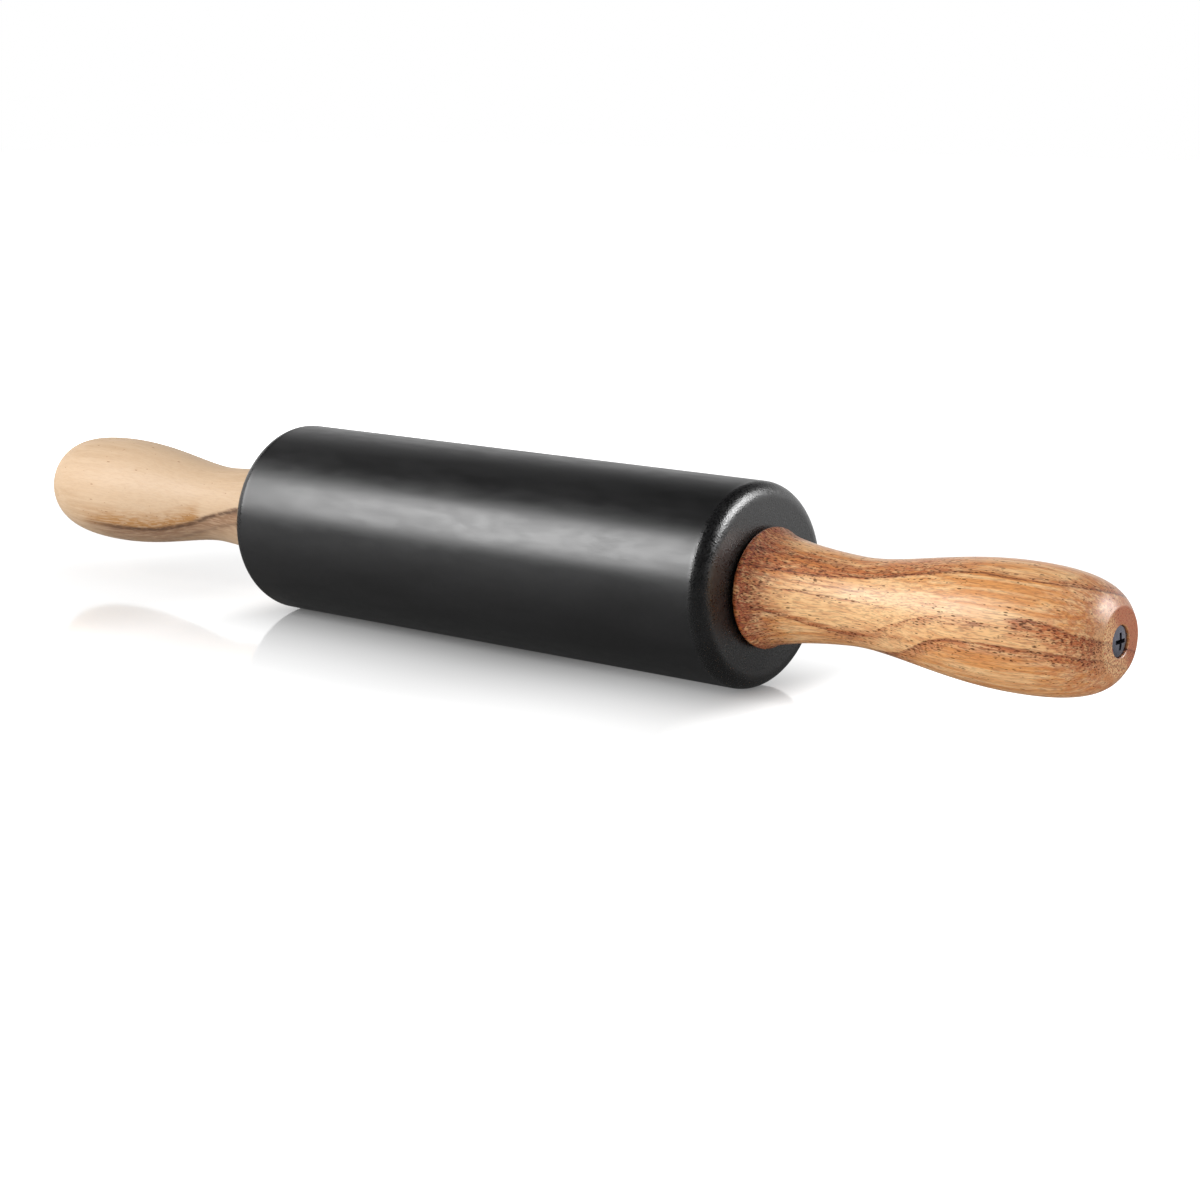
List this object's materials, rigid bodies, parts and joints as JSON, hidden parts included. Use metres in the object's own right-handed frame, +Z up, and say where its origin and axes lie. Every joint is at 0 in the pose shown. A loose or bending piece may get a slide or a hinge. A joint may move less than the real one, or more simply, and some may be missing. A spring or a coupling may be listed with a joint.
{
  "type": "marble rolling pin",
  "caption": "Rolling pin: a heavy honed stone barrel with rounded ends that spins on a steel axle between two turned wooden handles.",
  "frame": {"origin": "on the surface that the pin rolls on, under the middle of the barrel", "axes": "+X along the pin towards the tan handle, +Y away from the side that the picture shows, +Z up"},
  "size_m": [0.4378, 0.063, 0.063],
  "materials": {
    "black_stone": "honed, satin",
    "tan_wood": "turned, oiled, orange-tan with dark pores",
    "pale_wood": "turned, oiled, pale beige with a dark streak",
    "bearing_plastic": "natural nylon",
    "washer_plastic": "black nylon",
    "rod_steel": "ground rod",
    "washer_steel": "zinc plated",
    "screw_metal": "dark nickel plated"
  },
  "bodies": {
    "handles": {"axle": "rod_steel", "left_handle": "pale_wood", "right_handle": "tan_wood", "left_thrust_washer": "washer_plastic", "right_thrust_washer": "washer_plastic", "left_end_washer": "washer_steel", "right_end_washer": "washer_steel", "left_end_screw": "screw_metal", "right_end_screw": "screw_metal"},
    "roller": {"barrel": "black_stone", "left_bushing": "bearing_plastic", "right_bushing": "bearing_plastic"}
  },
  "joints": [
    {"name": "barrel_spin", "type": "hinge", "parent": "handles", "child": "roller", "pos_m": [0, 0, 0.0315], "axis": [1, 0, 0], "continuous": true}
  ]
}
